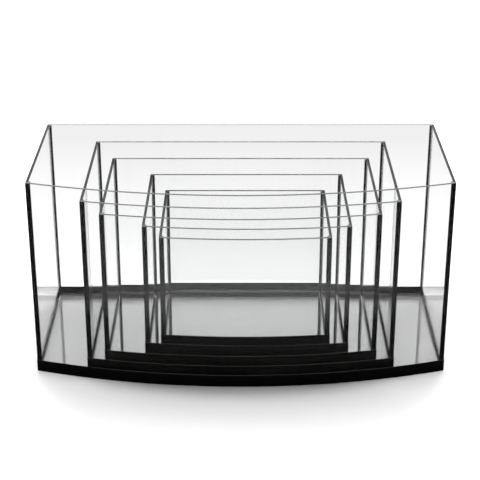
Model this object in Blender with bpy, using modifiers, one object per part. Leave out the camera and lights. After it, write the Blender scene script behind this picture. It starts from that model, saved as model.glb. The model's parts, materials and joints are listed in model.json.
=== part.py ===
"""A nesting set of bow-front glass aquariums, each one standing on the floor of the next larger one.

Every tank is made the same way, from five glued panes and no top frame:
- a flat bottom pane that lies inside the four walls,
- a bowed front pane, whose ends cover the front edges of the side panes,
- a flat back pane, which covers the back edges of the side panes,
- black silicone in the four upright corners and round the floor,
- a thin black band round the foot.

Units are metres and +Z is up. The bowed fronts face -Y. The origin is on the ground, at the middle of
the largest tank's footprint. Each tank's pieces hang from an empty at the middle of its own footprint,
which lies on the line that the tank is lifted out along.
"""

from collections import namedtuple
from math import asin, cos, pi, sin, sqrt

import bmesh
import bpy

# Length, depth at the middle of the bow, and height of each tank, largest first.
TANK_SIZES = (
    (0.600, 0.290, 0.299),
    (0.450, 0.265, 0.267),
    (0.400, 0.238, 0.236),
    (0.300, 0.209, 0.206),
    (0.250, 0.183, 0.176),
)
# How far each tank stands to the right of the largest tank's middle.
SIDE_SHIFTS = (0.0, 0.0, 0.0, 0.009, 0.007)
# From the back pane of one tank to the back of the tank inside it.
BACK_CLEARANCE = 0.003

# All the fronts are bent to one radius, measured to the outer face of the foot band.
BOW_RADIUS = 1.000
BOW_SEGMENTS = 24

WALL_GLASS = 0.004
FLOOR_GLASS = 0.006
ARRIS = 0.0004

# Neighbouring solids keep this far apart.
GAP = 0.0003
# Room for the silicone between a side pane's edge and the pane that covers it.
BOND = 0.0012
CORNER_FILLET = 0.0015
FILLET_SEGMENTS = 3
FLOOR_FILLET = 0.0022
SEAM_BELOW_RIM = 0.001

BAND_THICKNESS = 0.0005
BAND_TOP = 0.0186

# From the outer face of the foot band to the outer and the inner face of the walls.
GLASS_OUTSIDE = BAND_THICKNESS + GAP
GLASS_INSIDE = GLASS_OUTSIDE + WALL_GLASS

Tank = namedtuple("Tank", "name half_length front back height parent")


def remove_old_objects():
    for old in list(bpy.data.objects):
        bpy.data.objects.remove(old, do_unlink=True)


def make_material(name, color, roughness, transmission=0.0):
    material = bpy.data.materials.new(name)
    material.use_nodes = True
    shader = material.node_tree.nodes["Principled BSDF"]
    shader.inputs["Base Color"].default_value = (*color, 1.0)
    shader.inputs["Roughness"].default_value = roughness
    shader.inputs["Metallic"].default_value = 0.0
    shader.inputs["Transmission Weight"].default_value = transmission
    return material


def plan_tanks(collection):
    """Place each tank: it stands on the floor pane of the one around it, close to its back pane."""
    tanks = []
    back = TANK_SIZES[0][1] / 2
    base = 0.0
    for number, ((length, depth, height), shift) in enumerate(zip(TANK_SIZES, SIDE_SHIFTS), 1):
        parent = bpy.data.objects.new(f"tank_{number}_centre", None)
        parent.location = (shift, back - depth / 2, base)
        collection.objects.link(parent)
        # From here on the tank is described about its own centre.
        tanks.append(Tank(f"tank_{number}", length / 2, -depth / 2, depth / 2, height, parent))
        back -= GLASS_INSIDE + BACK_CLEARANCE
        base += FLOOR_GLASS + GAP
    return tanks


def bow_y(tank, x, inset):
    """Where the bow that lies inset behind the band's outer face crosses x."""
    return tank.front + BOW_RADIUS - sqrt((BOW_RADIUS - inset) ** 2 - x * x)


def bow_points(tank, half_width, inset):
    """Evenly spaced points along the bow, from left to right."""
    radius = BOW_RADIUS - inset
    reach = asin(half_width / radius)
    angles = [reach * (2 * step / BOW_SEGMENTS - 1) for step in range(BOW_SEGMENTS + 1)]
    centre_y = tank.front + BOW_RADIUS
    return [(radius * sin(angle), centre_y - radius * cos(angle)) for angle in angles]


def footprint(tank, inset):
    """The tank's closed outline seen from above, counter-clockwise, inset from the band's outer face."""
    half_width = tank.half_length - inset
    back = tank.back - inset
    return bow_points(tank, half_width, inset) + [(half_width, back), (-half_width, back)]


def add_outline(curve, points, closed=True):
    spline = curve.splines.new("POLY")
    spline.points.add(len(points) - 1)
    for point, (x, y) in zip(spline.points, points):
        point.co = (x, y, 0.0, 1.0)
    spline.use_cyclic_u = closed


def curve_piece(tank, piece, outlines, low, high, filled=True, closed=True):
    """A flat outline drawn upwards from low to high: a solid if filled, otherwise an upright sheet."""
    curve = bpy.data.curves.new(f"{tank.name}_{piece}", "CURVE")
    curve.dimensions = "2D"
    curve.fill_mode = "BOTH" if filled else "NONE"
    curve.extrude = (high - low) / 2
    for outline in outlines:
        add_outline(curve, outline, closed)
    made = bpy.data.objects.new(curve.name, curve)
    made.parent = tank.parent
    made.location.z = (low + high) / 2
    return made


def thicken(sheet, thickness, side):
    """Turn an upright sheet into a wall; side is 1 or -1 and picks the side it grows to."""
    solidify = sheet.modifiers.new("thickness", "SOLIDIFY")
    solidify.thickness = thickness
    solidify.offset = side
    solidify.use_even_offset = True


def ease_edges(piece):
    """The small ground-off edge that every pane has, so that it doesn't cut."""
    bevel = piece.modifiers.new("arris", "BEVEL")
    bevel.width = ARRIS
    bevel.segments = 1
    bevel.limit_method = "ANGLE"
    bevel.angle_limit = pi / 3


def box_piece(tank, piece, low, high):
    """A flat rectangular pane between two opposite corners."""
    mesh = bpy.data.meshes.new(f"{tank.name}_{piece}")
    shape = bmesh.new()
    bmesh.ops.create_cube(shape, size=1.0)
    bmesh.ops.scale(shape, verts=shape.verts, vec=[b - a for a, b in zip(low, high)])
    shape.to_mesh(mesh)
    shape.free()
    made = bpy.data.objects.new(mesh.name, mesh)
    made.parent = tank.parent
    made.location = [(a + b) / 2 for a, b in zip(low, high)]
    ease_edges(made)
    return made


def bottom_pane(tank):
    return curve_piece(tank, "bottom_pane", [footprint(tank, GLASS_INSIDE + GAP)], 0.0, FLOOR_GLASS)


def front_pane(tank):
    """A sheet bent to the bow, thickened towards the inside of the tank."""
    half_width = tank.half_length - GLASS_OUTSIDE
    arc = bow_points(tank, half_width, GLASS_OUTSIDE)
    pane = curve_piece(tank, "front_pane", [arc], 0.0, tank.height, filled=False, closed=False)
    thicken(pane, WALL_GLASS, 1)
    ease_edges(pane)
    return pane


def back_pane(tank):
    half_width = tank.half_length - GLASS_OUTSIDE
    inside = tank.back - GLASS_INSIDE
    outside = tank.back - GLASS_OUTSIDE
    return box_piece(tank, "back_pane", (-half_width, inside, 0.0), (half_width, outside, tank.height))


def side_edges(tank):
    """Where the front and the back edge of the side panes are, each a bond away from its neighbour."""
    front = bow_y(tank, tank.half_length - GLASS_OUTSIDE, GLASS_INSIDE) + BOND
    back = tank.back - GLASS_INSIDE - BOND
    return front, back


def side_pane(tank, piece, side):
    faces = sorted(side * (tank.half_length - inset) for inset in (GLASS_OUTSIDE, GLASS_INSIDE))
    front, back = side_edges(tank)
    return box_piece(tank, piece, (faces[0], front, 0.0), (faces[1], back, tank.height))


def corner_outline(tank, side, end):
    """The silicone of one upright corner seen from above; end is -1 at the front and 1 at the back.

    It fills the joint between the side pane's edge and the pane that covers it, and swells into a
    hollow fillet on the inside of the tank.
    """
    front_edge, back_edge = side_edges(tank)
    edge = front_edge if end < 0 else back_edge

    def cover(x):
        face = bow_y(tank, x, GLASS_INSIDE) if end < 0 else tank.back - GLASS_INSIDE
        return face - end * GAP

    outer = (tank.half_length - GLASS_OUTSIDE) * (1 - GLASS_INSIDE / BOW_RADIUS)
    inner = tank.half_length - GLASS_INSIDE - GAP
    tip = inner - CORNER_FILLET
    reach = edge - end * CORNER_FILLET
    points = [(outer, cover(outer)), (outer, edge + end * GAP), (inner, edge + end * GAP), (inner, reach)]
    for step in range(1, FILLET_SEGMENTS):
        turn = pi / 2 * step / FILLET_SEGMENTS
        x = tip + CORNER_FILLET * (1 - sin(turn))
        points.append((x, reach + (cover(tip) - reach) * (1 - cos(turn))))
    points.append((tip, cover(tip)))
    return [(side * x, y) for x, y in points]


def corner_seam(tank, piece, side, end):
    low = FLOOR_GLASS + FLOOR_FILLET + 2 * GAP
    return curve_piece(tank, piece, [corner_outline(tank, side, end)], low, tank.height - SEAM_BELOW_RIM)


def floor_seam(tank):
    """The bead where the floor meets the walls: a square ring with its inner top edge hollowed out."""
    outside = GLASS_INSIDE + GAP
    low = FLOOR_GLASS + GAP
    high = low + FLOOR_FILLET
    rings = [footprint(tank, outside), footprint(tank, outside + FLOOR_FILLET)]
    flat = curve_piece(tank, "floor_seam", rings, low, high)
    mesh = bpy.data.meshes.new_from_object(flat)
    bpy.data.objects.remove(flat, do_unlink=True)
    made = bpy.data.objects.new(f"{tank.name}_floor_seam", mesh)
    made.parent = tank.parent
    made.location.z = (low + high) / 2

    shape = bmesh.new()
    shape.from_mesh(mesh)
    bmesh.ops.remove_doubles(shape, verts=shape.verts, dist=GAP / 10)
    inner_corners = {(round(x, 5), round(y, 5)) for x, y in rings[1]}
    top = (high - low) / 2
    hollow = [
        edge for edge in shape.edges
        if all(abs(v.co.z - top) < GAP / 10 and (round(v.co.x, 5), round(v.co.y, 5)) in inner_corners
               for v in edge.verts)
    ]
    bmesh.ops.bevel(shape, geom=hollow, offset=FLOOR_FILLET - 2 * GAP, segments=2, profile=0.3,
                    affect="EDGES", clamp_overlap=True)
    shape.to_mesh(mesh)
    shape.free()
    return made


def foot_band(tank):
    """A thin strip wrapped once round the outside of the walls."""
    wrap = footprint(tank, BAND_THICKNESS)
    band = curve_piece(tank, "foot_band", [wrap], GAP, BAND_TOP, filled=False)
    thicken(band, BAND_THICKNESS, 1)
    return band


def finish_piece(piece, material, collection):
    piece.data.materials.clear()
    piece.data.materials.append(material)
    collection.objects.link(piece)


def build_tank(tank, materials, collection):
    glass = [
        bottom_pane(tank),
        front_pane(tank),
        back_pane(tank),
        side_pane(tank, "left_pane", -1),
        side_pane(tank, "right_pane", 1),
    ]
    silicone = [
        corner_seam(tank, "front_left_seam", -1, -1),
        corner_seam(tank, "front_right_seam", 1, -1),
        corner_seam(tank, "back_left_seam", -1, 1),
        corner_seam(tank, "back_right_seam", 1, 1),
        floor_seam(tank),
    ]
    for pane in glass:
        finish_piece(pane, materials["glass"], collection)
    for seam in silicone:
        finish_piece(seam, materials["silicone"], collection)
    finish_piece(foot_band(tank), materials["band"], collection)


def main():
    remove_old_objects()
    collection = bpy.data.collections.new("nesting_aquariums")
    bpy.context.scene.collection.children.link(collection)
    materials = {
        "glass": make_material("glass", (0.94, 0.96, 0.96), 0.01, transmission=1.0),
        "silicone": make_material("silicone", (0.012, 0.012, 0.013), 0.32),
        "band": make_material("band", (0.010, 0.010, 0.011), 0.38),
    }
    for tank in plan_tanks(collection):
        build_tank(tank, materials, collection)


main()
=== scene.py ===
# %% [markdown]
# # A nesting set of bow-front glass aquariums
#
# Five frameless tanks stand one inside the next. Each is glued up from five panes of float glass: a flat
# floor, a flat back, two flat sides and a front that is bent to a gentle bow. Black silicone fills the
# joints, and a thin black band is wrapped round the foot.
#
# The plain solids that carry the sizes and the motion are loaded first. Everything made below is placed
# from their boxes, so it fits them without any adjusting.

# %% Load the solid model
import json
from collections import namedtuple
from math import asin, cos, pi, radians, sin, sqrt

import bmesh
import bpy
from mathutils import Euler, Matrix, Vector, noise

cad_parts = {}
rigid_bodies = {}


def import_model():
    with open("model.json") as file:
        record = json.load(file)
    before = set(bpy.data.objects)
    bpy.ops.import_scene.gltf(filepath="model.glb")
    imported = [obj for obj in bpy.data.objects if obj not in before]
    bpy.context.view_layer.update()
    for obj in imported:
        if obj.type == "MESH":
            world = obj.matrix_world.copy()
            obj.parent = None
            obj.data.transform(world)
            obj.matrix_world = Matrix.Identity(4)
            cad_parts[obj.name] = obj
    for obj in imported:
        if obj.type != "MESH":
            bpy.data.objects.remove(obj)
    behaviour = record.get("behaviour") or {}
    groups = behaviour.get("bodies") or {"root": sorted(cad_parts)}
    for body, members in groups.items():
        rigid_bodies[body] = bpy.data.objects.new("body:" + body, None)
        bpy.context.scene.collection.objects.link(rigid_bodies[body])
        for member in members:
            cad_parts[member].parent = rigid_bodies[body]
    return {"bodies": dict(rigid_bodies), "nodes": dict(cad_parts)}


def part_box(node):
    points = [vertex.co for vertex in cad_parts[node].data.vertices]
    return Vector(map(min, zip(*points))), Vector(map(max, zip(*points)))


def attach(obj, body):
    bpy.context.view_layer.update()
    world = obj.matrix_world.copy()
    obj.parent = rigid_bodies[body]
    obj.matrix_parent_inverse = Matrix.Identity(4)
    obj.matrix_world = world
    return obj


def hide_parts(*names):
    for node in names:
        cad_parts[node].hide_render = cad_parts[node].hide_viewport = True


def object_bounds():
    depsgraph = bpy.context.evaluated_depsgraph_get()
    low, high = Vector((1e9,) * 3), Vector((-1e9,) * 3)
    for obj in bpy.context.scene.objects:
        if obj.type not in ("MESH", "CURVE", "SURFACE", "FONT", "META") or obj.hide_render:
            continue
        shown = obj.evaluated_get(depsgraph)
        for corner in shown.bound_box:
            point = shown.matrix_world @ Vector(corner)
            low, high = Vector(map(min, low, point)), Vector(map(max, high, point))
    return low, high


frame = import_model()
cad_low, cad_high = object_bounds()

print("solid model:", [round(high - low, 4) for low, high in zip(cad_low, cad_high)], "m")

# %% [markdown]
# ## Measuring the tanks
#
# Only a few lengths are needed to describe a tank: how far its foot band reaches to each side, to the
# front and to the back, how high it is, and where its floor starts. The band's box gives the first four,
# the panes' boxes give the rest. The thickness of the sheet comes from the box of a side pane, which is
# flat. The radius of the bow can't be read from a box, so it is worked out from the points of the seam
# round the floor: a chord of half-width a that rises by s belongs to a circle of radius
# (a*a + s*s) / 2s.

# %% Read each tank's sizes from its solids
MM = 0.001

Tank = namedtuple("Tank", "name x half front back low top floor wall radius skirt")


def measure_tank(name):
    """One tank's sizes in metres; skirt is how far the foot band stands out from the glass."""
    band_low, band_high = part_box(f"{name}_foot_band")
    side_low, side_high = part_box(f"{name}_right_pane")
    rear_low, rear_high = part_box(f"{name}_back_pane")
    floor_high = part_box(f"{name}_bottom_pane")[1]
    seam_low, seam_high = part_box(f"{name}_floor_seam")
    half_seam = (seam_high.x - seam_low.x) / 2
    rise = bow_rise(name)
    seam_radius = (half_seam ** 2 + rise ** 2) / (2 * rise)
    return Tank(
        name=name,
        x=(band_low.x + band_high.x) / 2,
        half=(band_high.x - band_low.x) / 2,
        front=band_low.y,
        back=band_high.y,
        low=rear_low.z,
        top=rear_high.z,
        floor=floor_high.z,
        wall=side_high.x - side_low.x,
        radius=seam_radius + (seam_low.y - band_low.y),
        skirt=band_high.x - side_high.x,
    )


def bow_rise(name):
    """How far the floor seam's outer edge falls back from the middle of the bow to its ends."""
    points = [vertex.co for vertex in frame["nodes"][f"{name}_floor_seam"].data.vertices]
    right = max(p.x for p in points)
    ends = [p.y for p in points if right - p.x < 0.01 * MM]
    return min(ends) - min(p.y for p in points)


TANKS = [measure_tank(name) for name in sorted(frame["bodies"])]
for tank in TANKS:
    print(f"{tank.name}: {2000 * tank.half:.0f} x {1000 * (tank.back - tank.front):.0f} x "
          f"{1000 * (tank.top - tank.low):.0f} mm, bow radius {1000 * tank.radius:.0f} mm, "
          f"glass {1000 * tank.wall:.1f} mm")

# %% [markdown]
# ## A small kit for node trees
#
# Both the shapes and the finishes below use node trees that are built in code. Two short helpers keep
# that readable: one makes a node and connects or sets its inputs in a single call, and the other makes a
# tree with named inputs. An input is given either a plain value or the socket that feeds it.

# %% Helpers that build node trees
def add_node(tree, kind, inputs=(), **settings):
    """Make a node, set its properties, and feed its inputs with values or other nodes' sockets."""
    node = tree.nodes.new(kind)
    for setting, value in settings.items():
        setattr(node, setting, value)
    for socket_name, value in dict(inputs).items():
        socket = node.inputs[socket_name]
        if isinstance(value, bpy.types.NodeSocket):
            tree.links.new(value, socket)
        else:
            socket.default_value = value
    return node


def maths(tree, operation, first, second=0.0):
    return add_node(tree, "ShaderNodeMath", {0: first, 1: second}, operation=operation).outputs[0]


def new_tree(name, kind, inputs, outputs):
    """A node group with named sockets: inputs and outputs map a name to its kind and starting value."""
    tree = bpy.data.node_groups.new(name, kind)
    for in_out, sockets in (("INPUT", inputs), ("OUTPUT", outputs)):
        for socket_name, (socket_kind, value) in sockets.items():
            socket = tree.interface.new_socket(socket_name, in_out=in_out, socket_type=socket_kind)
            if value is not None:
                socket.default_value = value
    return tree, tree.nodes.new("NodeGroupInput").outputs, tree.nodes.new("NodeGroupOutput").inputs


def socket_ids(tree):
    """A modifier knows a tree's inputs by their identifiers, so this maps names to them."""
    return {item.name: item.identifier for item in tree.interface.items_tree
            if item.item_type == "SOCKET" and item.in_out == "INPUT"}


print("node helpers ready")

# %% [markdown]
# ## From a tree or a shape to an object
#
# Pieces are made in two ways, by running a geometry tree or by editing a shape directly, and both end as
# a plain mesh object. A tree only runs while its modifier is on an object, so it is run on a start
# object that is thrown away once its result has been copied.

# %% Helpers that make objects
def grow(name, tree, values, base=None):
    """Run a geometry tree on an object, and return the result as a plain mesh object."""
    start = base or bpy.data.objects.new(name + "_start", bpy.data.meshes.new(name + "_start"))
    bpy.context.scene.collection.objects.link(start)
    modifier = start.modifiers.new("grow", "NODES")
    modifier.node_group = tree
    identifiers = socket_ids(tree)
    for input_name, value in values.items():
        modifier[identifiers[input_name]] = value
    depsgraph = bpy.context.evaluated_depsgraph_get()
    mesh = bpy.data.meshes.new_from_object(start.evaluated_get(depsgraph))
    start.modifiers.remove(modifier)
    bpy.data.objects.remove(start, do_unlink=True)
    return finished_object(name, mesh)


def finished_object(name, mesh):
    mesh.name = name
    made = bpy.data.objects.new(name, mesh)
    bpy.context.scene.collection.objects.link(made)
    return made


def object_from(shape, name, *materials):
    """Turn an edited shape into an object; its faces' material numbers count through materials."""
    mesh = bpy.data.meshes.new(name)
    shape.to_mesh(mesh)
    shape.free()
    for material in materials:
        mesh.materials.append(material)
    return finished_object(name, mesh)


print("object helpers ready")

# %% [markdown]
# ## Where the black and the grey come from
#
# Clear glass has no colour of its own, so the finishes matter most where light is stopped: at the ground
# edges, in the silicone and on the foot band. Three effects are shared between materials, and each is a
# node group that only puts out values that change over the surface.
#
# - Fine dust settles a little on everything, and changes colour and roughness by a trace.
# - Grinding leaves streaks that run along a pane's edge.
# - A finger pulled along wet silicone leaves long soft ripples.
#
# They read Object coordinates. Every finished piece has its origin at the world's origin, so the
# patterns lie in real metres.

# %% Shared surface effects
def dust_group():
    tree, given, result = new_tree(
        "fine dust", "ShaderNodeTree",
        {"Size": ("NodeSocketFloat", 400.0), "Cover": ("NodeSocketFloat", 0.3)},
        {"Mask": ("NodeSocketFloat", None)})
    place = add_node(tree, "ShaderNodeTexCoord").outputs["Object"]
    specks = add_node(tree, "ShaderNodeTexNoise", {"Vector": place, "Scale": given["Size"],
                                                   "Detail": 3.0, "Roughness": 0.65})
    drifts = add_node(tree, "ShaderNodeTexNoise", {"Vector": place, "Scale": 9.0, "Detail": 2.0})
    sharp = add_node(tree, "ShaderNodeMapRange", {"Value": specks.outputs["Fac"], "From Min": 0.52,
                                                  "From Max": 0.75})
    patchy = maths(tree, "MULTIPLY", sharp.outputs["Result"], drifts.outputs["Fac"])
    tree.links.new(maths(tree, "MULTIPLY", patchy, given["Cover"]), result["Mask"])
    return tree


def streak_group():
    tree, given, result = new_tree(
        "ground streaks", "ShaderNodeTree",
        {"Along X": ("NodeSocketFloat", 40.0), "Across": ("NodeSocketFloat", 2500.0)},
        {"Streak": ("NodeSocketFloat", None)})
    place = add_node(tree, "ShaderNodeTexCoord").outputs["Object"]
    stretch = add_node(tree, "ShaderNodeCombineXYZ",
                       {"X": given["Along X"], "Y": given["Along X"], "Z": given["Across"]}).outputs[0]
    lines = add_node(tree, "ShaderNodeVectorMath", {0: place, 1: stretch}, operation="MULTIPLY").outputs[0]
    grain = add_node(tree, "ShaderNodeTexNoise", {"Vector": lines, "Scale": 1.0, "Detail": 2.0})
    tree.links.new(grain.outputs["Fac"], result["Streak"])
    return tree


def ripple_group():
    tree, given, result = new_tree(
        "tooled ripple", "ShaderNodeTree",
        {"Length": ("NodeSocketFloat", 60.0), "Depth": ("NodeSocketFloat", 0.5)},
        {"Height": ("NodeSocketFloat", None), "Sheen Patch": ("NodeSocketFloat", None)})
    place = add_node(tree, "ShaderNodeTexCoord").outputs["Object"]
    slow = add_node(tree, "ShaderNodeTexNoise", {"Vector": place, "Scale": given["Length"], "Detail": 1.5})
    fine = add_node(tree, "ShaderNodeTexNoise", {"Vector": place, "Scale": 900.0, "Detail": 2.0})
    ripple = maths(tree, "MULTIPLY", slow.outputs["Fac"], given["Depth"])
    skin = maths(tree, "MULTIPLY", fine.outputs["Fac"], 0.08)
    tree.links.new(maths(tree, "ADD", ripple, skin), result["Height"])
    tree.links.new(slow.outputs["Fac"], result["Sheen Patch"])
    return tree


EFFECTS = {"dust": dust_group(), "streaks": streak_group(), "ripple": ripple_group()}
print("shared effects:", sorted(tree.name for tree in EFFECTS.values()))

# %% [markdown]
# ## Glass and its ground edges
#
# Float glass is a Principled shader with full transmission and no roughness, because any blur would add
# up over the ten panes that a line of sight crosses. For the same reason its tint is very faint. Real
# glass mirrors about a twelfth of what falls on it front on. In an all-white room ten such mirrors lay a
# grey veil over every black part behind them, so the wall panes mirror less front on and as much as
# real glass at a grazing angle. The floor pane is thicker, and looking into it crosses far more glass,
# so it takes a deeper tint and keeps its full mirroring.
#
# An eased edge is a ground, frosted surface that stops the light, so it is a plain grey with streaks
# instead of glass. How dark it looks depends on what lies beneath it along the line of sight, so the
# front, back and side panes and the floor pane each have their own grey. These greys are painted light
# and shade: the side, front and back edges are painted dark as painted shade, and the floor pane's rim is
# painted pale as painted light, which shows as a light line along the foot of each wall.

# %% Glass and edge materials
def start_material(name):
    material = bpy.data.materials.new(name)
    material.use_nodes = True
    tree = material.node_tree
    return material, tree, tree.nodes["Principled BSDF"]


def place_group(tree, effect, **inputs):
    """Place a shared effect; an underscore in an input's name stands for a space."""
    node = add_node(tree, "ShaderNodeGroup", node_tree=EFFECTS[effect])
    for socket_name, value in inputs.items():
        node.inputs[socket_name.replace("_", " ")].default_value = value
    return node.outputs


def between(tree, share, low, high):
    """A value that runs from low to high as share runs from 0 to 1."""
    return add_node(tree, "ShaderNodeMapRange", {"Value": share, "To Min": low, "To Max": high}).outputs[0]


# A Mix node names its number, vector and colour sockets alike; these are its colour ones.
MIX_DARK, MIX_LIGHT, MIX_RESULT = 6, 7, 2


def grey_between(tree, share, dark, light):
    mix = add_node(tree, "ShaderNodeMix", {MIX_DARK: (*dark, 1.0), MIX_LIGHT: (*light, 1.0)},
                   data_type="RGBA")
    tree.links.new(share, mix.inputs["Factor"])
    return mix.outputs[MIX_RESULT]


def float_glass(name, clean, dusty, mirroring):
    """Clear sheet glass; dust only changes how much light a pane lets through."""
    material, tree, shader = start_material(name)
    dust = place_group(tree, "dust", Size=260.0, Cover=0.6)
    color = grey_between(tree, dust["Mask"], clean, dusty)
    tree.links.new(color, shader.inputs["Base Color"])
    shader.inputs["Roughness"].default_value = 0.0
    shader.inputs["IOR"].default_value = 1.5
    shader.inputs["Transmission Weight"].default_value = 1.0
    shader.inputs["Specular Tint"].default_value = (*[mirroring] * 3, 1.0)
    return material


def ground_edge(name, dark, light, shine):
    """A frosted edge, streaked along its length by the grinding belt; its grey, given per pane, is painted:
    painted shade on the dark edges, painted light on the pale floor rim.
    """
    material, tree, shader = start_material(name)
    streak = place_group(tree, "streaks", Along_X=35.0, Across=1800.0)["Streak"]
    tree.links.new(grey_between(tree, streak, dark, light), shader.inputs["Base Color"])
    tree.links.new(between(tree, streak, 0.5, 0.65), shader.inputs["Roughness"])
    shader.inputs["Specular IOR Level"].default_value = shine
    return material


# Painted light and shade: the front, back and side edge greys are painted shade, and the floor rim's pale
# grey is painted light.
FINISHES = {
    "glass": float_glass("float glass", (0.966, 0.967, 0.967), (0.945, 0.945, 0.945), 0.08),
    "floor glass": float_glass("floor glass", (0.918, 0.921, 0.921), (0.89, 0.89, 0.89), 1.0),
    "front edge": ground_edge("front pane edge", (0.045, 0.047, 0.047), (0.09, 0.095, 0.095), 0.12),
    "back edge": ground_edge("back pane edge", (0.13, 0.135, 0.135), (0.2, 0.21, 0.21), 0.3),
    "floor rim": ground_edge("floor pane rim", (0.5, 0.51, 0.51), (0.8, 0.81, 0.81), 0.2),
    "side edge": ground_edge("side pane edge", (0.015, 0.016, 0.016), (0.035, 0.036, 0.036), 0.03),
}
print("glass finishes:", sorted(FINISHES))

# %% [markdown]
# ## Silicone and foot band
#
# Silicone cures to a soft gloss where it meets the air. Where it has wetted the glass there is no air
# between them, so nothing is mirrored there, and a joint looks deep black through its pane. A single
# black material would turn those joints grey, so silicone has two finishes: one in the air, and one
# against glass. The bead round the floor was wiped smoother than the upright ones, and shines more.
#
# The foot band is a satin plastic strip that was cut from a wider sheet, so its long edges are rougher
# than its face. Their paler grey is a painted highlight, the thin line of light that the edges catch.

# %% Silicone and band materials
def silicone(name, smoothest, roughest):
    material, tree, shader = start_material(name)
    ripple = place_group(tree, "ripple", Length=45.0, Depth=0.6)
    dust = place_group(tree, "dust", Size=700.0, Cover=0.5)
    tree.links.new(grey_between(tree, dust["Mask"], (0.002, 0.002, 0.0021), (0.02, 0.02, 0.02)),
                   shader.inputs["Base Color"])
    tree.links.new(between(tree, ripple["Sheen Patch"], smoothest, roughest), shader.inputs["Roughness"])
    bump = add_node(tree, "ShaderNodeBump", {"Strength": 0.25, "Distance": 0.0004,
                                             "Height": ripple["Height"]})
    tree.links.new(bump.outputs["Normal"], shader.inputs["Normal"])
    return material


def bonded_silicone():
    """Silicone seen through the glass it has wetted: with no air between them it doesn't shine."""
    material, tree, shader = start_material("bonded silicone")
    dust = place_group(tree, "dust", Size=300.0, Cover=0.4)
    tree.links.new(grey_between(tree, dust["Mask"], (0.0015, 0.0015, 0.0016), (0.008, 0.008, 0.008)),
                   shader.inputs["Base Color"])
    shader.inputs["Roughness"].default_value = 0.6
    shader.inputs["Specular IOR Level"].default_value = 0.0
    return material


def foot_band_plastic():
    material, tree, shader = start_material("foot band")
    streak = place_group(tree, "streaks", Along_X=12.0, Across=900.0)["Streak"]
    dust = place_group(tree, "dust", Size=500.0, Cover=0.5)
    tree.links.new(grey_between(tree, dust["Mask"], (0.0012, 0.0012, 0.0013), (0.012, 0.012, 0.012)),
                   shader.inputs["Base Color"])
    tree.links.new(between(tree, streak, 0.42, 0.55), shader.inputs["Roughness"])
    bump = add_node(tree, "ShaderNodeBump", {"Strength": 0.1, "Distance": 0.0001, "Height": streak})
    tree.links.new(bump.outputs["Normal"], shader.inputs["Normal"])
    shader.inputs["Specular IOR Level"].default_value = 0.03
    return material


def band_edge_highlight():
    """Where the strip was cut to width: rougher than its face, and paler as a painted highlight."""
    material, tree, shader = start_material("band cut edge")
    streak = place_group(tree, "streaks", Along_X=60.0, Across=4000.0)["Streak"]
    # The pale streaked grey is a painted highlight along the band's edges.
    tree.links.new(grey_between(tree, streak, (0.05, 0.05, 0.05), (0.12, 0.12, 0.12)),
                   shader.inputs["Base Color"])
    shader.inputs["Roughness"].default_value = 0.6
    shader.inputs["Specular IOR Level"].default_value = 0.2
    return material


FINISHES.update({
    "floor silicone": silicone("floor silicone", 0.08, 0.2),
    "corner silicone": silicone("corner silicone", 0.4, 0.55),
    "bonded silicone": bonded_silicone(),
    "band": foot_band_plastic(),
    "band edge highlight": band_edge_highlight(),
})
print("finishes:", sorted(FINISHES))

# %% [markdown]
# ## The outline that everything follows
#
# Seen from above, a tank is a rectangle with one side replaced by an arc. Each ring of material, from the
# foot band to the innermost bead of silicone, is that outline drawn a little further in. So one function
# gives the outline at any inset from the band's outer face, and the pieces differ only in their insets.

# %% The outline at any inset
ARC_STEPS = 72


def bow_y(tank, x, inset):
    """Where the bow, drawn inset from the band's face, crosses x; x is measured from the tank's middle."""
    return tank.front + tank.radius - sqrt((tank.radius - inset) ** 2 - x * x)


def bow_arc(tank, half_width, inset, steps=ARC_STEPS):
    radius = tank.radius - inset
    reach = asin(half_width / radius)
    turns = [reach * (2 * step / steps - 1) for step in range(steps + 1)]
    centre = tank.front + tank.radius
    return [(tank.x + radius * sin(turn), centre - radius * cos(turn)) for turn in turns]


def outline(tank, inset):
    half_width = tank.half - inset
    back = tank.back - inset
    return bow_arc(tank, half_width, inset) + [(tank.x + half_width, back), (tank.x - half_width, back)]


def glass_inside(tank):
    return tank.skirt + tank.wall


print("points in an outline:", len(outline(TANKS[0], 0.0)))

# %% [markdown]
# ## The bent front panes
#
# The front of the real tank is a flat sheet that was heated until it sank onto a curved mould. It keeps
# its thickness everywhere, and its ends stay square to the bow. A stretched grid or a bent box would both
# do, but the sheet is described exactly by one section, the thickness by the height, carried along an
# arc. That is what a geometry tree with Curve to Mesh makes, and the tank's own sizes are its inputs.
# The corners of the section are rounded a little, which is the eased edge that keeps the rim from
# cutting.
#
# The tree also tells the clear faces from the ground ones. A face that looks up or down belongs to the
# rim or the foot, and a face with more than four corners is the section's own outline, so it is an end.
# Shading may run smoothly round the bow, but never across a change of finish: a large clear face whose
# normals lean towards its eased edge would bend everything seen through it.

# %% A tree that carries a section along an arc
ARRIS = 0.4 * MM
# An upward or downward part of a face's normal beyond this makes it part of the rim or the foot.
RIM_SLOPE = 0.2


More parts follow.
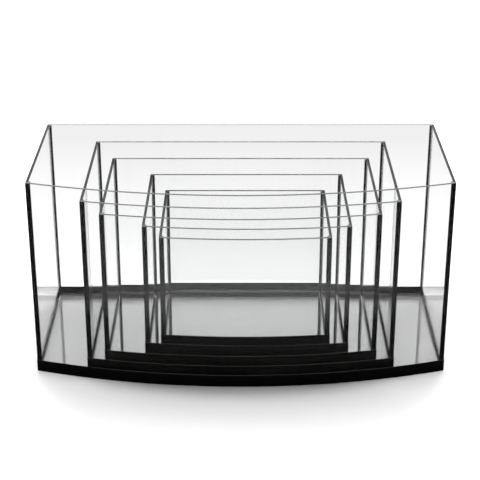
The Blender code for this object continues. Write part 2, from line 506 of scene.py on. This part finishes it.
def bent_pane_tree():
    tree, given, result = new_tree(
        "bent pane", "GeometryNodeTree",
        {"Geometry": ("NodeSocketGeometry", None),
         "Half Width": ("NodeSocketFloat", 0.3), "Radius": ("NodeSocketFloat", 1.0),
         "Thickness": ("NodeSocketFloat", 0.004), "Height": ("NodeSocketFloat", 0.3),
         "Middle": ("NodeSocketVector", (0.0, 0.0, 0.0)), "Arris": ("NodeSocketFloat", ARRIS),
         "Steps": ("NodeSocketInt", ARC_STEPS),
         "Face": ("NodeSocketMaterial", None), "Edge": ("NodeSocketMaterial", None)},
        {"Geometry": ("NodeSocketGeometry", None)})
    reach = maths(tree, "ARCSINE", maths(tree, "DIVIDE", given["Half Width"], given["Radius"]))
    half_sheet = maths(tree, "MULTIPLY", given["Thickness"], 0.5)
    arc = add_node(tree, "GeometryNodeCurveArc", {
        "Resolution": maths(tree, "ADD", given["Steps"], 1.0),
        "Radius": maths(tree, "SUBTRACT", given["Radius"], half_sheet),
        "Start Angle": maths(tree, "SUBTRACT", -pi / 2, reach),
        "Sweep Angle": maths(tree, "MULTIPLY", reach, 2.0)})
    upright = add_node(tree, "GeometryNodeSetCurveNormal", {"Curve": arc.outputs["Curve"]}, mode="Z_UP")
    placed = add_node(tree, "GeometryNodeTransform", {"Geometry": upright.outputs["Curve"],
                                                      "Translation": given["Middle"]})
    section = add_node(tree, "GeometryNodeCurvePrimitiveQuadrilateral",
                       {"Width": given["Thickness"], "Height": given["Height"]})
    eased = add_node(tree, "GeometryNodeFilletCurve", {"Curve": section.outputs["Curve"],
                                                       "Radius": given["Arris"], "Count": 2}, mode="POLY")
    sheet = add_node(tree, "GeometryNodeCurveToMesh", {"Curve": placed.outputs["Geometry"],
                                                       "Profile Curve": eased.outputs["Curve"],
                                                       "Fill Caps": True})
    real = add_node(tree, "GeometryNodeRealizeInstances", {"Geometry": sheet.outputs["Mesh"]})
    glazed = add_node(tree, "GeometryNodeSetMaterial", {"Geometry": real.outputs["Geometry"],
                                                        "Material": given["Face"]})
    normal = add_node(tree, "GeometryNodeInputNormal").outputs[0]
    upward = add_node(tree, "ShaderNodeSeparateXYZ", {0: normal}).outputs["Z"]
    is_rim = maths(tree, "GREATER_THAN", maths(tree, "ABSOLUTE", upward), RIM_SLOPE)
    corners = add_node(tree, "GeometryNodeCornersOfFace").outputs["Total"]
    is_end = maths(tree, "GREATER_THAN", corners, 4.5)
    edged = add_node(tree, "GeometryNodeSetMaterial", {
        "Geometry": glazed.outputs["Geometry"], "Material": given["Edge"],
        "Selection": maths(tree, "MAXIMUM", is_rim, is_end)})
    tree.links.new(edged.outputs["Geometry"], result["Geometry"])
    return tree


BENT_PANE = bent_pane_tree()
print("bent pane takes:", sorted(socket_ids(BENT_PANE)))

# %% [markdown]
# ## Shading a piece and handing it over
#
# Every piece of a tank is finished in the same few steps. Its round stretches are shaded smooth, and it
# is tied to its tank, so that it is lifted with it. It also says which of the plain solids it stands
# for, because those are hidden behind it. The front panes are the first to go through these steps.

# %% Grow the front panes
def soften(piece, angle=radians(35)):
    """Shade the round stretches smooth, and keep the real edges and every change of finish crisp."""
    mesh = piece.data
    mesh.shade_smooth()
    mesh.set_sharp_from_angle(angle=angle)
    shape = bmesh.new()
    shape.from_mesh(mesh)
    for edge in shape.edges:
        if len({face.material_index for face in edge.link_faces}) > 1:
            edge.smooth = False
    shape.to_mesh(mesh)
    shape.free()


def settle(piece, tank, finish_slot, *stood_for):
    """Hand a finished piece over: it moves with its tank and stands for the plain solids."""
    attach(piece, tank.name)
    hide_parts(*[f"{tank.name}_{node}" for node in stood_for])


def size_of(piece):
    corners = [Vector(corner) for corner in piece.bound_box]
    return [round(1000 * (max(c[i] for c in corners) - min(c[i] for c in corners)), 1) for i in range(3)]


for tank in TANKS:
    pane = grow(f"{tank.name}_front_glass", BENT_PANE, {
        "Half Width": tank.half - tank.skirt,
        "Radius": tank.radius - tank.skirt,
        "Thickness": tank.wall,
        "Height": tank.top - tank.low,
        "Middle": (tank.x, tank.front + tank.radius, (tank.top + tank.low) / 2),
        "Face": FINISHES["glass"],
        "Edge": FINISHES["front edge"]})
    soften(pane)
    settle(pane, tank, "glass", "front_pane")
    print(pane.name, size_of(pane), "mm", len(pane.data.polygons), "faces")

# %% [markdown]
# ## The flat panes
#
# The back, the sides and the floor are cut from flat sheet. A cube would have knife edges that real glass
# never has, and the line along an eased edge is what tells the eye that this is a sheet of glass.
# So each pane is a box or a filled outline whose edges are bevelled, and the faces that aren't part of
# the two large ones take the ground-edge finish. The floor pane keeps a hair of room to the walls, as a
# pane that was dropped into silicone does, so the two never share a face.

# %% Cut and ease the flat panes
FLOOR_GAP = 0.3 * MM
# Edges that turn more than this are cut edges; the bow's own small turns stay as they are.
CUT_EDGE = radians(45)
SQUARE_ON = 0.999


def glaze(name, shape, large_axis, face_finish, edge_finish):
    """Bevel a pane's edges, and finish everything but its two large faces as ground edge."""
    bmesh.ops.recalc_face_normals(shape, faces=shape.faces)
    rims = [edge for edge in shape.edges if edge.calc_face_angle(0.0) > CUT_EDGE]
    bmesh.ops.bevel(shape, geom=rims, offset=ARRIS, segments=2, profile=0.5, affect="EDGES",
                    clamp_overlap=True)
    for face in shape.faces:
        face.material_index = 0 if abs(face.normal[large_axis]) > SQUARE_ON else 1
    piece = object_from(shape, name, FINISHES[face_finish], FINISHES[edge_finish])
    soften(piece)
    return piece


def flat_pane(name, low, high, large_axis):
    shape = bmesh.new()
    bmesh.ops.create_cube(shape, size=1.0)
    middle = [(a + b) / 2 for a, b in zip(low, high)]
    bmesh.ops.scale(shape, verts=shape.verts, vec=[b - a for a, b in zip(low, high)])
    bmesh.ops.translate(shape, verts=shape.verts, vec=middle)
    return glaze(name, shape, large_axis, "glass", "side edge" if large_axis == 0 else "back edge")


def floor_pane(tank):
    shape = bmesh.new()
    rim = [shape.verts.new((x, y, tank.low)) for x, y in outline(tank, glass_inside(tank) + FLOOR_GAP)]
    sheet = shape.faces.new(rim)
    lifted = bmesh.ops.extrude_face_region(shape, geom=[sheet])["geom"]
    risen = [part for part in lifted if isinstance(part, bmesh.types.BMVert)]
    bmesh.ops.translate(shape, verts=risen, vec=(0, 0, tank.floor - tank.low))
    return glaze(f"{tank.name}_bottom_glass", shape, 2, "floor glass", "floor rim")


for tank in TANKS:
    for side, axis in (("back", 1), ("left", 0), ("right", 0)):
        low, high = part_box(f"{tank.name}_{side}_pane")
        pane = flat_pane(f"{tank.name}_{side}_glass", low, high, axis)
        settle(pane, tank, "glass", f"{side}_pane")
    pane = floor_pane(tank)
    settle(pane, tank, "glass", "bottom_pane")
    print(pane.name, size_of(pane), "mm")

# %% [markdown]
# ## Lofting the silicone
#
# A bead of silicone has the same section all the way along, apart from the small waver of the hand that
# pulled the finger down it. Lofting suits that: the section is repeated at many stations, each is nudged
# by smooth seeded noise, and neighbouring rings are joined with quads. Both kinds of bead use one loft.
#
# The bead reaches a few hundredths of a millimetre into the glass. A bond has no air in it, and that is
# what makes it look deep black through a pane instead of grey.

# %% Loft rings into a bead
WETTING = 0.03 * MM
WAVER = 0.12 * MM
WAVES_PER_METRE = 38.0
BEAD_SPACING = 7.3
# A bead's fillet is made of flat steps; turns up to this are shaded as one round surface.
FILLET_TURN = radians(50)


def waver(along, key):
    """A smooth, repeatable wander between -WAVER and WAVER; each bead's key gives it its own."""
    return WAVER * noise.noise(Vector((along * WAVES_PER_METRE, key * BEAD_SPACING, 0.5)))


def loft(name, rings, closed_path, open_from, open_finish):
    """Join rings of points with quads; every ring is a closed section with the same number of points.

    The section's sides from number open_from on are in the air, and the ones before it touch glass.
    """
    shape = bmesh.new()
    rows = [[shape.verts.new(point) for point in ring] for ring in rings]
    count = len(rows[0])
    steps = len(rows) if closed_path else len(rows) - 1
    for step in range(steps):
        here, there = rows[step], rows[(step + 1) % len(rows)]
        for i in range(count):
            j = (i + 1) % count
            face = shape.faces.new((here[i], here[j], there[j], there[i]))
            face.material_index = 0 if open_from <= i < count - 1 else 1
    if not closed_path:
        shape.faces.new(rows[0])
        shape.faces.new(rows[-1])
    bmesh.ops.recalc_face_normals(shape, faces=shape.faces)
    piece = object_from(shape, name, FINISHES[open_finish], FINISHES["bonded silicone"])
    soften(piece, FILLET_TURN)
    return piece


print("bond reaches", round(WETTING * 1000, 3), "mm into the glass")

# %% [markdown]
# ## The upright corner seams
#
# In an upright corner the side pane's edge is glued to the face of the front or the back pane. At the
# front that face is on the bow, so the joint is a slim wedge that opens towards the outside, and the
# silicone fills it right out to the side of the tank. Inside the tank it is wiped into a hollow fillet
# that joins the two faces. A quarter round would be the plain choice, but a wiped bead is hollow: it
# leaves both panes almost along their faces and is thinnest in the middle.
#
# The section's points run round it in order, first the ones against glass and then the fillet's, so the
# loft can tell which sides are in the air.

# %% Corner seams
FRONT_LEG = 3.4 * MM
BACK_LEG = 2.7 * MM
# How much of the bent pane's square-cut end stays clear of silicone.
END_SHOWN = 0.6 * MM
FILLET_STEPS = 6
RIM_CLEARANCE = 0.5 * MM
STATIONS = 48


def front_joint(tank):
    """Where the bent pane's square-cut end meets a side pane: its inner corner and near its outer one."""
    reach = asin((tank.half - tank.skirt) / (tank.radius - tank.skirt))
    centre = tank.front + tank.radius
    ends = []
    for inset in (glass_inside(tank), tank.skirt + END_SHOWN):
        radius = tank.radius - inset
        ends.append((radius * sin(reach) - WETTING, centre - radius * cos(reach) - WETTING))
    return ends


def corner_section(tank, side, end, leg):
    """One corner's silicone seen from above, as points round its section."""
    edge_low, edge_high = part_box(f"{tank.name}_right_pane")
    edge = edge_low.y if end < 0 else edge_high.y
    outer = tank.half - tank.skirt
    inner = tank.half - glass_inside(tank) + WETTING
    joint = edge - end * WETTING
    reach = edge - end * leg
    tip = inner - leg
    if end < 0:
        cover = bow_y(tank, tip, glass_inside(tank)) - WETTING
        inner_corner, outer_corner = front_joint(tank)
        points = [inner_corner, outer_corner, (outer, outer_corner[1]), (outer, joint)]
    else:
        cover = tank.back - glass_inside(tank) + WETTING
        points = [(outer, cover), (outer, joint)]
    points += [(inner, joint), (inner, reach)]
    for step in range(1, FILLET_STEPS):
        turn = pi / 2 * step / FILLET_STEPS
        points.append((tip + leg * (1 - sin(turn)), reach + (cover - reach) * (1 - cos(turn))))
    points.append((tip, cover))
    return [(tank.x + side * x, y) for x, y in points]


def corner_seam(tank, name, side, end, usual_leg):
    """One upright bead: side is -1 for left and 1 for right, end is -1 for front and 1 for back."""
    low = tank.floor
    high = tank.top - RIM_CLEARANCE
    rings = []
    for station in range(STATIONS + 1):
        z = low + (high - low) * station / STATIONS
        leg = usual_leg + waver(z, side + 3 * end + 10 * TANKS.index(tank))
        rings.append([(x, y, z) for x, y in corner_section(tank, side, end, leg)])
    seam = loft(f"{tank.name}_{name}_bead", rings, False, len(rings[0]) - FILLET_STEPS - 1,
                "corner silicone")
    settle(seam, tank, "silicone", f"{name}_seam")


for tank in TANKS:
    corner_seam(tank, "front_left", -1, -1, FRONT_LEG)
    corner_seam(tank, "front_right", 1, -1, FRONT_LEG)
    corner_seam(tank, "back_left", -1, 1, BACK_LEG)
    corner_seam(tank, "back_right", 1, 1, BACK_LEG)
print("corner seams:", 4 * len(TANKS))

# %% [markdown]
# ## The seam round the floor
#
# The floor pane lies between the walls, and a bead of silicone is wiped all the way round into the corner
# above it. The thin joint beside the pane's edge is left clear, because glass lets the pale edge be seen
# from inside the tank as a light line along the foot of each wall; that pale edge is painted light.
#
# The bead could be lofted side by side with mitred ends, but its section's points are given as an inset
# from the outline and a height instead. Each point then traces its own copy of the outline, and the
# corners come out mitred by themselves.

# %% Floor seams
FLOOR_LEG = 2.1 * MM


def floor_section(tank, leg):
    """Points round the section, as (inset, height)."""
    wall = glass_inside(tank) - WETTING
    floor = tank.floor - WETTING
    points = [(wall, floor), (wall + leg, floor)]
    for step in range(1, FILLET_STEPS):
        turn = pi / 2 * step / FILLET_STEPS
        points.append((wall + leg * (1 - sin(turn)), floor + leg * (1 - cos(turn))))
    points.append((wall, floor + leg))
    return points


def floor_seam(tank):
    section = floor_section(tank, FLOOR_LEG)
    traced = [[(x, y, z) for x, y in outline(tank, inset)] for inset, z in section]
    rings = [list(ring) for ring in zip(*traced)]
    seam = loft(f"{tank.name}_floor_bead", rings, True, len(section) - FILLET_STEPS - 1,
                "floor silicone")
    settle(seam, tank, "silicone", "floor_seam")
    return seam


for tank in TANKS:
    seam = floor_seam(tank)
    print(seam.name, size_of(seam), "mm")

# %% [markdown]
# ## The foot band
#
# The band is a flat plastic strip wrapped once round the foot of the glass. It is a section carried along
# a path again, so it is grown by a geometry tree from the outline itself. The tree rounds the path's
# corners first, because a strip can't be folded sharply, and rounds the section's long edges, which catch
# a thin line of light; the tree also gives those edges a paler finish, a painted highlight on that line.
# The strip is glued on without air, so it reaches into the glass by the bond.

# %% Wrap the foot bands
BAND_CORNER = 0.9 * MM
BAND_EDGE = 0.18 * MM
CUT_SLOPE = 0.4


def band_tree():
    tree, given, result = new_tree(
        "wrapped strip", "GeometryNodeTree",
        {"Geometry": ("NodeSocketGeometry", None),
         "Thickness": ("NodeSocketFloat", 0.0008), "Height": ("NodeSocketFloat", 0.018),
         "Corner": ("NodeSocketFloat", BAND_CORNER), "Edge": ("NodeSocketFloat", BAND_EDGE),
         "Plastic": ("NodeSocketMaterial", None), "Cut Edge": ("NodeSocketMaterial", None)},
        {"Geometry": ("NodeSocketGeometry", None)})
    rounded = add_node(tree, "GeometryNodeFilletCurve", {"Curve": given["Geometry"], "Count": 6,
                                                         "Radius": given["Corner"],
                                                         "Limit Radius": True}, mode="POLY")
    upright = add_node(tree, "GeometryNodeSetCurveNormal", {"Curve": rounded.outputs["Curve"]}, mode="Z_UP")
    section = add_node(tree, "GeometryNodeCurvePrimitiveQuadrilateral",
                       {"Width": given["Thickness"], "Height": given["Height"]})
    eased = add_node(tree, "GeometryNodeFilletCurve", {"Curve": section.outputs["Curve"], "Count": 3,
                                                       "Radius": given["Edge"]}, mode="POLY")
    strip = add_node(tree, "GeometryNodeCurveToMesh", {"Curve": upright.outputs["Curve"],
                                                       "Profile Curve": eased.outputs["Curve"]})
    real = add_node(tree, "GeometryNodeRealizeInstances", {"Geometry": strip.outputs["Mesh"]})
    painted = add_node(tree, "GeometryNodeSetMaterial", {"Geometry": real.outputs["Geometry"],
                                                         "Material": given["Plastic"]})
    normal = add_node(tree, "GeometryNodeInputNormal").outputs[0]
    upward = add_node(tree, "ShaderNodeSeparateXYZ", {0: normal}).outputs["Z"]
    # Faces that look up or down get the cut-edge finish, whose paler grey is a painted highlight.
    is_highlit_edge = maths(tree, "GREATER_THAN", maths(tree, "ABSOLUTE", upward), CUT_SLOPE)
    trimmed = add_node(tree, "GeometryNodeSetMaterial", {"Geometry": painted.outputs["Geometry"],
                                                         "Selection": is_highlit_edge,
                                                         "Material": given["Cut Edge"]})
    tree.links.new(trimmed.outputs["Geometry"], result["Geometry"])
    return tree


def path_object(name, points, z):
    curve = bpy.data.curves.new(name, "CURVE")
    curve.dimensions = "3D"
    spline = curve.splines.new("POLY")
    spline.points.add(len(points) - 1)
    for point, (x, y) in zip(spline.points, points):
        point.co = (x, y, z, 1.0)
    spline.use_cyclic_u = True
    return bpy.data.objects.new(name, curve)


WRAPPED_STRIP = band_tree()
for tank in TANKS:
    band_low, band_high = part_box(f"{tank.name}_foot_band")
    thickness = tank.skirt + WETTING
    middle = (band_low.z + band_high.z) / 2
    path = path_object(f"{tank.name}_band_path", outline(tank, thickness / 2), middle)
    band = grow(f"{tank.name}_band", WRAPPED_STRIP, {
        "Thickness": thickness,
        "Height": band_high.z - band_low.z,
        "Plastic": FINISHES["band"],
        "Cut Edge": FINISHES["band edge highlight"]}, base=path)
    soften(band)
    settle(band, tank, "band", "foot_band")
    print(band.name, size_of(band), "mm", len(band.data.polygons), "faces")

# %% [markdown]
# ## The floor and the table
#
# The tanks stand on white paper that runs up into a white background. Seen directly it is white with one
# soft shadow in front, but seen through the glass it is a middle grey, because every pane takes its share
# of the light twice, on its way down and on its way back. Glass that dark would also blacken the view
# through ten walls. So the ground is made of two planes. The pale floor is seen directly and catches the
# shadow; further out it fades into the white room, so it has no horizon, and the fade is painted light that
# lightens the shadow towards the sides and further out. The table just below it is a grey that is painted
# shade for that loss of light through the panes; it lights the tanks from below, and is seen only through
# glass. Both are below the tanks, and neither is part of the model.

# %% Floor and table
FLOOR_SIZE = 3.0
FLOOR_Z = -0.2 * MM
FLOOR_GREY = 0.8
# The fade is painted light: where the floor thins out, the white room shows through and lightens the
# shadow, more towards the sides and further out.
FLOOR_REACH = (0.5, 0.29, 1.0)
FLOOR_COVER = ((0.55, 1.0), (0.65, 0.82), (0.95, 0.66), (3.0, 0.0))
TABLE_Z = -0.4 * MM
# The table's grey is painted shade: it stands for the light that the panes take from the floor seen through
# them.
TABLE_GREY = 0.54
TABLE_SIDES = 120 * MM
TABLE_FRONT = 150 * MM
TABLE_BACK = 3 * MM


def ground(name, low, high, z, grey):
    """A level rectangle of plain matt grey that belongs to the stage."""
    shape = bmesh.new()
    corners = [(low[0], low[1]), (high[0], low[1]), (high[0], high[1]), (low[0], high[1])]
    shape.faces.new([shape.verts.new((x, y, z)) for x, y in corners])
    material, tree, shader = start_material(name)
    shader.inputs["Base Color"].default_value = (grey, grey, grey, 1.0)
    shader.inputs["Roughness"].default_value = 0.9
    shader.inputs["Specular IOR Level"].default_value = 0.0
    made = object_from(shape, name, material)
    return made, tree, shader


def fade_out(tree, shader, reach, stops):
    """Let the ground melt into the white room, which lightens its shadow as painted light: stops are
    (distance in units of reach, cover).
    """
    place = add_node(tree, "ShaderNodeTexCoord").outputs["Object"]
    scaled = add_node(tree, "ShaderNodeVectorMath", {0: place, 1: [1 / size for size in reach]},
                      operation="MULTIPLY").outputs["Vector"]
    distance = add_node(tree, "ShaderNodeVectorMath", {0: scaled}, operation="LENGTH").outputs["Value"]
    furthest = stops[-1][0]
    ramp = add_node(tree, "ShaderNodeValToRGB", {"Fac": maths(tree, "DIVIDE", distance, furthest)})
    elements = ramp.color_ramp.elements
    while len(elements) < len(stops):
        elements.new(0.5)
    for element, (at, cover) in zip(elements, stops):
        element.position = at / furthest
        element.color = (cover, cover, cover, 1.0)
    tree.links.new(ramp.outputs["Color"], shader.inputs["Alpha"])


def pale_floor():
    low, high = (-FLOOR_SIZE, -FLOOR_SIZE), (FLOOR_SIZE, FLOOR_SIZE)
    floor, tree, shader = ground("studio_floor", low, high, FLOOR_Z, FLOOR_GREY)
    fade_out(tree, shader, FLOOR_REACH, FLOOR_COVER)
    for rays in ("diffuse", "glossy", "transmission", "shadow"):
        setattr(floor, f"visible_{rays}", False)
    return floor


def grey_table():
    low = (cad_low.x - TABLE_SIDES, cad_low.y - TABLE_FRONT)
    high = (cad_high.x + TABLE_SIDES, cad_high.y + TABLE_BACK)
    # A grey sheet of painted shade, seen only through glass.
    table = ground("studio_table", low, high, TABLE_Z, TABLE_GREY)[0]
    table.visible_camera = False
    return table


for plane in (pale_floor(), grey_table()):
    print(plane.name, size_of(plane), "mm")

# %% [markdown]
# ## The room
#
# Clear glass is seen by what lies behind it. A room of one even white would make the panes vanish, and a
# dark card behind them would show its own edges from the side. So the room's brightness changes with
# height only, and only for light that has passed through glass. At the height of the rims it is just
# below white, which lays a faint grey over each pane. Lower down it climbs past white, as paper does
# close to a lamp, and steps up once more where the wall ends and the floor begins. Overhead it is bright
# again, to light the floor inside the tanks.
#
# Slope here is the upward part of a ray's direction: -1 looks straight down, 0 is level.

# %% White room
ROOM = 1.9
WALL_SLOPES = (-0.445, -0.345)
WALL = (1.33, 0.905)
GROUND_SLOPES = (-0.4475, -0.4435)
GROUND = 2.1
OVERHEAD_SLOPES = (0.0, 0.3)
OVERHEAD = 1.85


def across(tree, slope, slopes, below, above):
    """Change from one brightness to another between two slopes, and hold it beyond them."""
    return add_node(tree, "ShaderNodeMapRange", {
        "Value": slope, "From Min": slopes[0], "From Max": slopes[1],
        "To Min": below, "To Max": above}).outputs[0]


def white_room():
    world = bpy.data.worlds.new("studio")
    world.use_nodes = True
    tree = world.node_tree
    direction = add_node(tree, "ShaderNodeTexCoord").outputs["Generated"]
    slope = add_node(tree, "ShaderNodeSeparateXYZ", {0: direction}).outputs["Z"]
    wall = across(tree, slope, WALL_SLOPES, *WALL)
    wall_and_ground = across(tree, slope, GROUND_SLOPES, GROUND, wall)
    seen_through_glass = across(tree, slope, OVERHEAD_SLOPES, wall_and_ground, OVERHEAD)
    ray = add_node(tree, "ShaderNodeLightPath").outputs
    background = tree.nodes["Background"]
    background.inputs["Color"].default_value = (1.0, 1.0, 1.0, 1.0)
    tree.links.new(between(tree, ray["Is Transmission Ray"], ROOM, seen_through_glass),
                   background.inputs["Strength"])
    world.cycles_visibility.diffuse = False
    return world


bpy.context.scene.world = white_room()
print("room brightness:", ROOM, "directly,", WALL[1], "to", GROUND, "behind glass")

# %% [markdown]
# ## Lamps and camera
#
# One broad softbox hangs overhead and puts a soft line of light on the silicone's fillets. A second,
# stronger one stands behind and above the tanks. It throws the shadow forwards, and lights the floor
# through the glass.
#
# A line of sight crosses more than twenty glass surfaces, which is more than the usual limit on bounces.
# The limit is raised, or the innermost tank would turn black.

# %% Lamps, camera and light paths
# Place, width, depth and brightness of each softbox.
SOFTBOXES = {
    "top softbox": ((0.0, 0.35, 2.4), 2.8, 2.0, 3.5),
    "rear softbox": ((0.0, 1.5, 2.0), 2.4, 1.2, 12.0),
}
CAMERA_PLACE = (-0.0009, -1.8288, 1.0063)
CAMERA_TILT = 24.65
FOCAL_LENGTH = 101.06
GLASS_BOUNCES = 64
MIRROR_BOUNCES = 32
PLAIN_BOUNCES = 6


def softbox(name, location, width, depth, radiance):
    """A flat lamp of even brightness that faces the tanks."""
    lamp = bpy.data.lights.new(name, "AREA")
    lamp.shape = "RECTANGLE"
    lamp.size = width
    lamp.size_y = depth
    lamp.energy = radiance * pi * width * depth
    holder = bpy.data.objects.new(name, lamp)
    holder.location = location
    holder.rotation_euler = Vector(location).to_track_quat("Z", "Y").to_euler()
    bpy.context.scene.collection.objects.link(holder)


def camera():
    lens = bpy.data.cameras.new("camera")
    lens.sensor_width = 36.0
    lens.lens = FOCAL_LENGTH
    holder = bpy.data.objects.new("camera", lens)
    holder.location = CAMERA_PLACE
    holder.rotation_euler = Euler((radians(90 - CAMERA_TILT), 0.0, 0.0))
    bpy.context.scene.collection.objects.link(holder)
    bpy.context.scene.camera = holder


for name, setting in SOFTBOXES.items():
    softbox(name, *setting)
camera()

scene = bpy.context.scene
scene.view_settings.view_transform = "Standard"
scene.cycles.max_bounces = GLASS_BOUNCES
scene.cycles.transmission_bounces = GLASS_BOUNCES
scene.cycles.glossy_bounces = MIRROR_BOUNCES
scene.cycles.diffuse_bounces = PLAIN_BOUNCES
print("softboxes:", sorted(SOFTBOXES), "- camera tilted down", CAMERA_TILT, "degrees")
